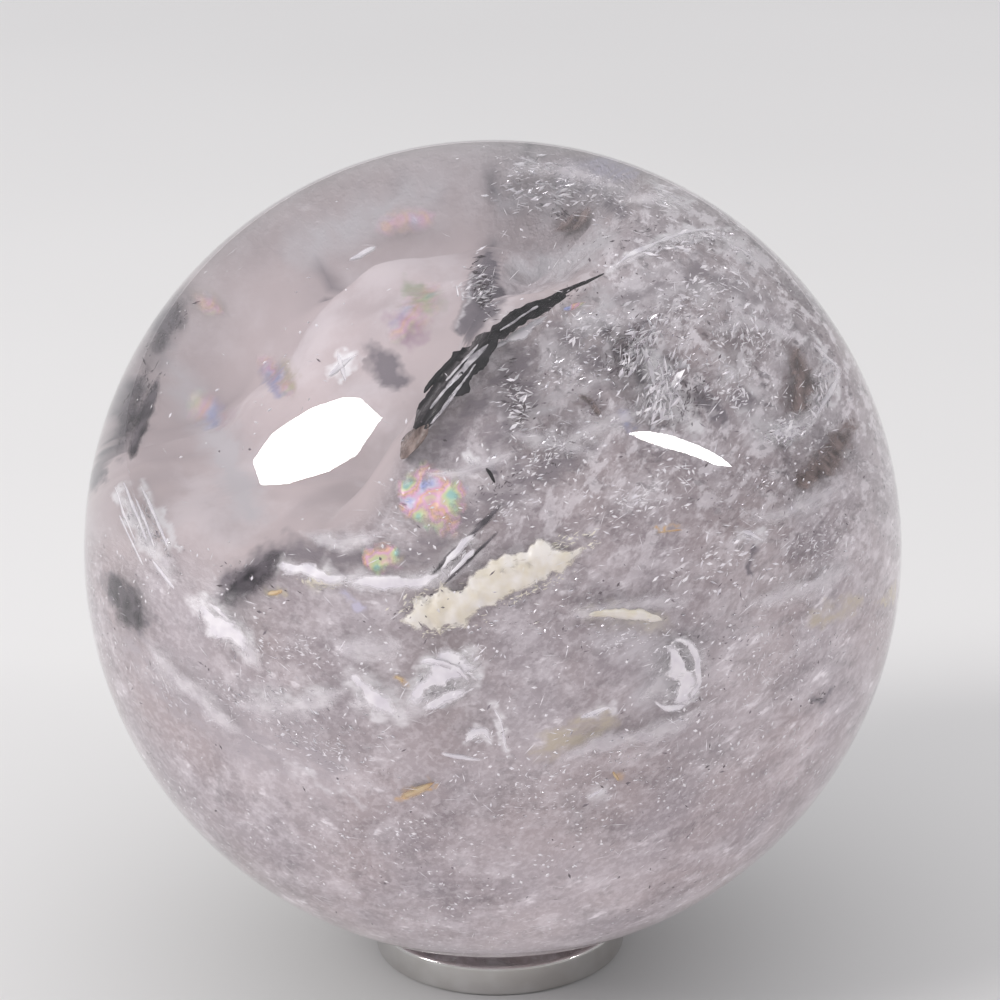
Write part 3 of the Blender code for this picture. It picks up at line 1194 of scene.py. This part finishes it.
def addStrip(whole, line, values, seed, turn=None):
    lift, tear, crown = values["lift"], values["tear"], values.get("crown", 0.0)
    long = sum(math.hypot(b[0] - a[0], b[1] - a[1]) for a, b in zip(line, line[1:]))
    widest = max(point[2] for point in line)
    bm = bmesh.new()
    segments = (max(int(long / stripShape["grid"]), 6), max(int(widest / stripShape["grid"]), 2))
    bmesh.ops.create_grid(bm, x_segments=segments[0], y_segments=segments[1], size=0.5)
    edgeLayer = bm.verts.layers.float.new("inward")  # 0 along the strip's outline
    for vert in bm.verts:
        share, aside = vert.co.x + 0.5, vert.co.y * 2
        px, py, half, runX, runY = spineSpot(line, share)
        half = tornHalf(half, share, 1 if aside > 0 else -1, long, tear, seed)
        px -= runY * aside * half
        py += runX * aside * half
        rise = lift[0] + (lift[1] - lift[0]) * share + crown * (1 - aside**2)
        length, height = stripShape["ripple"]
        rise += height * noise.noise(Vector((px / length, py / length, seed)))
        inward = (1 - abs(aside)) * min(1.0, stripShape["fade"] * min(share, 1 - share))
        if turn:
            place = overMilkAnywhere(turn, px, py, rise * mm)
        else:
            place = overMilk(px, py, rise * mm, values.get("deepest", 1000) * mm)
            inward *= fromOutline(px, py)
        vert.co = keptInside(place, clearance["strip"])
        vert[edgeLayer] = inward
    bmesh.ops.solidify(bm, geom=list(bm.faces), thickness=stripShape["thickness"])
    bmesh.ops.recalc_face_normals(bm, faces=bm.faces)
    addTo(whole, bm)


# How many more strips lie on the far side, which the photograph doesn't show, and their length
# and half width in px
farStrips = {
    "white_veils": (46, (50, 130), (6, 18)),
    "white_slivers": (70, (16, 60), (1, 4)),
    "ochre_stains": (6, (10, 30), (2, 4)),
    "cream_inclusion": (4, (16, 50), (3, 7)),
}
farShape = {
    "nearest": 0.05,  # towards the camera, as a share of the radius
    "inWindow": 0.2,
    "bow": 0.12,
    "angle": (0.3, 0.5),
    "profile": ((-1, 0.3), (-0.3, 1.0), (0.4, 0.9), (1, 0.3)),  # along it, and its width there
}


def addFarStrips(whole, name, values):
    number, lengths, widths = farStrips[name]
    rng = random.Random(name)
    made = 0
    while made < number:
        way = anyWay(rng)
        skin = ballMiddle + way * ballRadius
        if viewShares(skin)[2] > farShape["nearest"] or windowShares(skin)[1] > farShape["inWindow"]:
            continue
        made += 1
        turn = way.to_track_quat("Z", "Y").to_matrix()
        far, half = rng.uniform(*lengths) / 2, rng.uniform(*widths)
        bow, angle = rng.gauss(0, farShape["bow"]), rng.gauss(*farShape["angle"])
        line = []
        for step, width in farShape["profile"]:
            along, aside = step * far, bow * far * (1 - step**2)
            x = along * math.cos(angle) - aside * math.sin(angle)
            y = along * math.sin(angle) + aside * math.cos(angle)
            line.append((x, y, half * width))
        addStrip(whole, line, values, made + 0.61, turn)


def makeStrips(name, material, shadow=True):
    values = strips[name]
    whole = bmesh.new()
    whole.verts.layers.float.new("inward")
    for seed, line in enumerate(values["lines"]):
        addStrip(whole, line, values, seed + 0.37)
    if name in farStrips:
        addFarStrips(whole, name, values)
    finishPiece(whole, name, material, shadow=shadow)


# A veil fades out towards its outline, and along its fibres
veil = {
    "least": 0.06,
    "fibres": 0.66,
    "rough": (0.5, 0.3),
}
rainbow = {
    "least": 0.05,
    "drift": 300.0,
    "first": 0.34,
    "span": 0.32,
    "rough": 0.25,
    "bands": ("teal", "lime", "gold", "pink", "orange", "pink", "lilac", "sky"),
}


def filledShare(tree, inward, torn, least, full, most):
    filled = maths(tree, "MULTIPLY", maths(tree, "ADD", inward, torn), inward)
    levels = {"Value": filled, "From Min": least, "From Max": full, "To Max": most}
    return put(tree, "MapRange", levels).outputs[0]


def veilMaterial(name, first, second, most, full, torn):
    material, tree = newMaterial(name)
    place = put(tree, "TexCoord").outputs["Object"]
    inward = put(tree, "Attribute", attribute_name="inward").outputs["Fac"]
    fibres = wisp(tree, place, (0.55, 1, 0.5), scale=520.0, detail=5.0, low=torn, high=veil["fibres"])
    inputs = {
        "Base Color": tint(tree, place, 500.0, first, second),
        "Roughness": between(tree, fibres, *veil["rough"]),
        "Alpha": filledShare(tree, inward, fibres, veil["least"], full, most),
    }
    finishSurface(tree, inputs)
    return material


def rainbowMaterial(name, most, full):
    material, tree = newMaterial(name)
    place = put(tree, "TexCoord").outputs["Object"]
    inward = put(tree, "Attribute", attribute_name="inward").outputs["Fac"]
    drift = put(tree, "TexNoise", {"Vector": place, "Scale": rainbow["drift"], "Detail": 2.0})
    ramp = put(tree, "ValToRGB", {0: drift.outputs[0]})
    bands = rainbow["bands"]
    stops = ramp.color_ramp.elements
    while len(stops) < len(bands):
        stops.new(0.5)
    for index, band in enumerate(bands):
        stops[index].position = rainbow["first"] + rainbow["span"] * index / (len(bands) - 1)
        stops[index].color = (*markColours[band], 1.0)
    flecks = wisp(tree, place, scale=900.0, detail=3.0, low=0.35, high=0.62)
    share = filledShare(tree, inward, flecks, rainbow["least"], full, most)
    inputs = {"Base Color": ramp.outputs[0], "Roughness": rainbow["rough"], "Alpha": share}
    finishSurface(tree, inputs)
    return material


# Crusts are solid; veils fade out towards their edges
crusts = {
    # first colour, second colour, lowest and highest roughness, how much it mirrors
    "dark_fracture": ((0.004, 0.004, 0.005, 1), (0.024, 0.021, 0.024, 1), 0.3, 0.55, 0.25),
    "fracture_streaks": ((0.75, 0.74, 0.76, 1), (0.30, 0.29, 0.31, 1), 0.2, 0.5, 0.5),
    "fracture_tip": ((0.09, 0.06, 0.05, 1), (0.34, 0.27, 0.24, 1), 0.25, 0.5, 0.4),
}
veils = {
    # first colour, second colour, most cover, how soon it is full, how torn, lower is fuller
    "cream_inclusion": ((0.93, 0.91, 0.84, 1), (0.82, 0.77, 0.62, 1), 1.0, 0.20, 0.36),
    "white_slivers": ((0.99, 0.98, 0.99, 1), (0.82, 0.80, 0.84, 1), 0.95, 0.40, 0.42),
    "umber_veils": ((0.10, 0.075, 0.07, 1), (0.36, 0.28, 0.26, 1), 0.75, 0.8, 0.46),
    "ochre_stains": ((0.62, 0.36, 0.12, 1), (0.74, 0.58, 0.34, 1), 0.85, 0.8, 0.40),
    "smoky_hollows": ((0.035, 0.032, 0.038, 1), (0.13, 0.115, 0.13, 1), 0.9, 0.75, 0.34),
    "white_veils": ((0.99, 0.97, 0.98, 1), (0.84, 0.81, 0.84, 1), 0.45, 1.1, 0.42),
}


def makeAllStrips():
    for name, (first, second, low, high, mirrors) in crusts.items():
        makeStrips(name, flakeMaterial(name, first, second, low, high, specular=mirrors))
    for name, (first, second, most, full, torn) in veils.items():
        makeStrips(name, veilMaterial(name, first, second, most, full, torn), shadow=False)
    makeStrips("rainbow_veils", rainbowMaterial("rainbow_film", 0.85, 0.9), shadow=False)
    makeStrips("rainbow_glows", rainbowMaterial("rainbow_glow", 0.32, 1.5), shadow=False)
    print("fractures, slivers and the cream inclusion made")


# Clusters of small crystals where the photograph sparkles: x, y, spread along and across in px,
# direction in degrees, how many, and their length in mm
clusters = {
    "sparkles": (
        (668, 196, 20, 10, -20, 110, 1.5),
        (664, 388, 28, 13, 65, 220, 2.2),
        (640, 350, 26, 12, 60, 140, 2.0),
        (786, 430, 14, 9, 20, 90, 1.3),
        (820, 560, 44, 30, 35, 150, 1.0),
        (720, 560, 60, 26, 25, 150, 1.0),
        (640, 500, 50, 22, 25, 130, 1.0),
        (822, 385, 30, 8, 70, 90, 1.4),
        (700, 238, 38, 6, 15, 110, 1.6),
        (590, 320, 34, 12, 30, 90, 1.4),
        (700, 290, 50, 20, 25, 130, 1.3),
        (750, 330, 30, 30, 70, 110, 1.2),
        (730, 390, 24, 24, 40, 110, 1.2),
        (560, 190, 44, 20, 5, 120, 0.9),
        (484, 290, 9, 26, 15, 110, 1.0),
        (516, 400, 14, 30, 10, 110, 1.2),
        (540, 165, 30, 5, -8, 50, 0.9),
        (752, 250, 14, 7, -20, 30, 1.0),
        (684, 672, 11, 28, 10, 130, 1.0),
        (668, 668, 16, 20, 40, 50, 0.6),
        (446, 680, 28, 16, 35, 170, 1.1),
        (368, 698, 12, 9, 40, 40, 0.7),
        (478, 738, 11, 6, 10, 30, 0.6),
        (222, 628, 22, 11, -45, 70, 0.7),
        (145, 522, 24, 9, -60, 60, 1.0),
        (330, 580, 40, 5, -8, 80, 0.7),
        (430, 578, 34, 5, 12, 60, 0.7),
        (460, 552, 22, 7, 48, 50, 1.0),
        (524, 330, 18, 5, 30, 30, 0.7),
        (560, 370, 30, 14, 30, 80, 0.7),
        (560, 450, 40, 12, 25, 90, 0.7),
        (500, 510, 36, 14, 30, 90, 0.7),
        (610, 330, 24, 12, 30, 60, 0.7),
        (700, 300, 36, 18, 25, 80, 0.6),
        (760, 350, 22, 16, 40, 60, 0.6),
        (620, 200, 16, 9, -40, 40, 0.6),
        (754, 537, 13, 7, 10, 40, 0.6),
        (620, 640, 34, 14, 10, 80, 0.5),
        (240, 700, 44, 18, -25, 120, 0.7),
        (170, 690, 30, 14, -50, 80, 0.8),
        (320, 750, 48, 14, -18, 110, 0.7),
        (300, 650, 34, 14, -10, 90, 0.6),
        (540, 800, 60, 20, 5, 110, 0.5),
        (700, 780, 50, 24, 20, 110, 0.5),
        (820, 540, 40, 20, 30, 100, 0.6),
        (790, 660, 50, 22, 30, 110, 0.5),
        (410, 840, 70, 18, -8, 110, 0.5),
    ),
    "glints": (
        (668, 196, 18, 9, -20, 60, 1.0),
        (664, 388, 26, 13, 65, 160, 1.6),
        (636, 346, 28, 14, 60, 110, 1.5),
        (788, 430, 16, 9, 20, 80, 1.3),
        (556, 186, 50, 20, 0, 110, 0.9),
        (822, 385, 26, 8, 70, 50, 1.0),
        (706, 238, 40, 7, 15, 70, 1.1),
        (684, 672, 10, 28, 10, 60, 0.9),
        (446, 676, 26, 14, 35, 60, 0.9),
        (700, 320, 60, 34, 25, 200, 0.8),
        (590, 360, 50, 30, 30, 160, 0.8),
        (560, 440, 50, 24, 25, 120, 0.8),
        (760, 480, 50, 26, 30, 120, 0.7),
        (560, 620, 90, 40, 5, 160, 0.7),
        (300, 720, 90, 40, -20, 200, 0.8),
        (600, 780, 110, 50, 10, 200, 0.7),
        (780, 640, 60, 60, 30, 160, 0.7),
        (150, 540, 30, 14, -60, 60, 1.0),
        (230, 640, 30, 14, -40, 60, 0.9),
    ),
    "dark_specks": (
        (626, 350, 26, 12, 60, 150, 1.2),
        (484, 290, 8, 26, 15, 90, 0.9),
        (516, 400, 14, 34, 15, 90, 1.1),
        (690, 400, 26, 14, 60, 90, 0.9),
        (704, 402, 14, 9, 50, 40, 0.5),
        (824, 462, 24, 9, 32, 90, 0.5),
        (796, 382, 26, 9, 80, 50, 0.4),
        (590, 404, 12, 8, 30, 30, 0.5),
        (560, 300, 24, 8, 30, 40, 0.7),
        (540, 470, 40, 9, 25, 50, 0.6),
        (450, 560, 36, 5, 38, 40, 0.9),
        (500, 486, 26, 9, 35, 30, 0.6),
        (250, 580, 26, 12, -30, 50, 0.9),
        (140, 400, 40, 10, 62, 60, 1.0),
        (165, 330, 30, 9, 55, 40, 1.0),
        (120, 600, 26, 9, -60, 40, 1.0),
        (720, 640, 40, 22, 25, 40, 0.5),
        (820, 698, 12, 4, 20, 16, 0.7),
        (640, 230, 40, 8, 20, 50, 0.7),
        (560, 210, 20, 9, -40, 30, 0.6),
        (430, 600, 60, 8, 15, 40, 0.5),
    ),
    "cream_crumbs": (
        (420, 600, 20, 6, 24, 60, 0.8),
        (500, 572, 40, 6, 22, 90, 0.9),
        (560, 545, 24, 5, 20, 60, 0.9),
        (450, 628, 30, 4, 14, 50, 0.8),
        (530, 592, 34, 4, 26, 50, 0.7),
        (592, 546, 8, 4, 20, 20, 0.6),
        (320, 582, 16, 5, -8, 30, 0.7),
    ),
}


clusterShape = {
    "spread": 0.6,
    "nearest": 0.2,  # mm over the milk
    "room": (2.2, 4.5),  # mm, and how much more in the crackled part
    "sinking": 1.5,
    "turn": 0.5,
    "lean": 0.7,
    "shortest": 0.25,
    "longer": 0.12,  # mm
    "width": (0.08, 0.35),  # mm, and as a share of the length
    "thickness": 0.06,
}


def makeClusters(name, material, seed):
    shape = clusterShape
    rng = random.Random(seed)
    whole = bmesh.new()
    for px, py, far, aside, degrees, number, longest in clusters[name]:
        angle = math.radians(degrees)
        bm = bmesh.new()
        for each in range(number):
            along, across = rng.gauss(0, far * shape["spread"]), rng.gauss(0, aside * shape["spread"])
            x = px + along * math.cos(angle) + across * math.sin(angle)
            y = py - along * math.sin(angle) + across * math.cos(angle)
            room = shape["room"][0] + shape["room"][1] * crackedShare(insideBall(x, y, 0.0))
            place = overMilk(x, y, (shape["nearest"] + room * rng.random() ** shape["sinking"]) * mm)
            turn = angle + rng.gauss(0, shape["turn"])
            run = viewRight * math.cos(turn) + viewUp * math.sin(turn)
            out = -viewForward
            frame = Matrix((run, out.cross(run), out)).transposed()
            frame = frame @ Matrix.Rotation(rng.gauss(0, shape["lean"]), 3, "X")
            long = rng.uniform(shape["shortest"], 1.0) ** 2 * longest
            width = shape["width"][0] + rng.random() * shape["width"][1] * long
            addFlake(bm, place, frame, (long + shape["longer"], width, shape["thickness"]))
        addTo(whole, bm)
    finishPiece(whole, name, material, smooth=False)


def makeAllClusters():
    white = flakeMaterial("white_crystal", (0.99, 0.98, 0.99, 1), (0.80, 0.78, 0.82, 1), 0.15, 0.4)
    makeClusters("sparkles", white, 21)
    glint = flakeMaterial("bright_facet", (0.97, 0.97, 0.99, 1), (0.88, 0.88, 0.92, 1), 0.1, 0.3, 1.0)
    makeClusters("glints", glint, 24)
    makeClusters("dark_specks", bpy.data.materials["smoke_flake"], 22)
    crumb = flakeMaterial("cream_crumb", (0.88, 0.85, 0.74, 1), (0.80, 0.76, 0.64, 1), 0.5, 0.7)
    makeClusters("cream_crumbs", crumb, 23)
    print("clusters made")


# Lights that the ball mirrors as the photograph shows, and a plain floor
studio = {
    "keyPx": (
        (253, 461), (261, 485), (288, 484), (328, 472), (357, 455),
        (382, 418), (360, 398), (346, 397), (314, 407), (272, 434),
    ),
    "keyDistance": 1.1,
    "keyLight": 11.0,
    "glint": 2.6,
    "stripPx": (
        (628, 433), (645, 431), (669, 435), (697, 445), (719, 456),
        (733, 467), (716, 465), (688, 454), (666, 448), (645, 441),
    ),
    "stripDistance": 1.1,
    "stripLight": 16.0,
    "lightColour": (1.0, 0.985, 0.97, 1.0),
    "worldTop": (0.78, 0.78, 0.80, 1.0),
    "worldSide": (0.42, 0.415, 0.42, 1.0),
    "worldUnder": (1.05, 1.0, 1.02, 1.0),  # stands for the light that the floor throws back up
    "horizon": -0.02,
    "worldTopFrom": 0.8,
    "floor": (0.84, 0.83, 0.825, 1.0),
    "floorSoft": 0.97,
    "floorWidth": 6.0,
}


lightPaths = {
    "transparent_max_bounces": 64,
    "max_bounces": 8,
    "diffuse_bounces": 0,
    "glossy_bounces": 3,
    "use_light_tree": False,
    "caustics_refractive": False,
    "caustics_reflective": False,
}


def glowMaterial(name, strength):  # the panel is brighter where it is mirrored
    material, tree = newMaterial(name)
    mirroredRay = put(tree, "LightPath").outputs["Is Glossy Ray"]
    shown = between(tree, mirroredRay, strength, strength * studio["glint"])
    glow = put(tree, "Emission", {"Color": studio["lightColour"], "Strength": shown})
    finish(tree, glow.outputs[0])
    return material


def makePanel(name, outline, distance, strength):
    middleRays = [mirrored(px, py) for px, py in outline]
    facing = sum((ray for hit, ray in middleRays), Vector()).normalized()
    plane = ballMiddle + facing * distance
    bm = bmesh.new()
    corners = []
    for hit, ray in middleRays:
        reach = (plane - hit).dot(facing) / ray.dot(facing)
        corners.append(bm.verts.new(hit + ray * reach))
    bm.faces.new(corners)
    mesh = bpy.data.meshes.new(name)
    bm.to_mesh(mesh)
    bm.free()
    mesh.materials.append(glowMaterial(name, strength))
    panel = bpy.data.objects.new(name, mesh)
    bpy.context.collection.objects.link(panel)


def makeFloor():
    bm = bmesh.new()
    bmesh.ops.create_grid(bm, x_segments=2, y_segments=2, size=studio["floorWidth"] / 2)
    mesh = bpy.data.meshes.new("studio_floor")
    bm.to_mesh(mesh)
    bm.free()
    material, tree = newMaterial("studio_floor")
    place = put(tree, "TexCoord").outputs["Object"]
    soft = tuple(studio["floorSoft"] * part for part in studio["floor"][:3]) + (1.0,)
    colour = tint(tree, place, 3.0, studio["floor"], soft)
    finishSurface(tree, {"Base Color": colour, "Roughness": 0.7})
    mesh.materials.append(material)
    ground = bpy.data.objects.new("studio_floor", mesh)
    bpy.context.collection.objects.link(ground)
    ground.visible_shadow = False
    ground.visible_diffuse = False


def makeWorld():
    world = bpy.data.worlds.new("studio")
    world.use_nodes = True
    tree = world.node_tree
    tree.nodes.clear()
    toward = put(tree, "TexCoord").outputs["Generated"]
    height = put(tree, "SeparateXYZ", {0: toward}).outputs["Z"]
    levels = {"Value": height, "From Min": 0.0, "From Max": studio["worldTopFrom"]}
    rise = put(tree, "MapRange", levels)
    shade = mixed(tree, rise.outputs[0], studio["worldSide"], studio["worldTop"])
    under = maths(tree, "LESS_THAN", height, studio["horizon"])
    glow = put(tree, "Background", {"Color": mixed(tree, under, shade, studio["worldUnder"])})
    put(tree, "OutputWorld", {"Surface": glow.outputs[0]})
    world.cycles.sampling_method = "NONE"
    bpy.context.scene.world = world


def makeStudio():
    makePanel("key_softbox", studio["keyPx"], studio["keyDistance"], studio["keyLight"])
    makePanel("strip_softbox", studio["stripPx"], studio["stripDistance"], studio["stripLight"])
    makeFloor()
    makeWorld()
    bpy.context.scene.view_settings.view_transform = "Standard"
    for setting, value in lightPaths.items():
        setattr(bpy.context.scene.cycles, setting, value)
    print("studio made")


makeCamera()
makeGlassBall()
makeRing()
milkTree = makeMilk()
makeAllFlakes()
makeAllStrips()
makeAllClusters()
makeStudio()
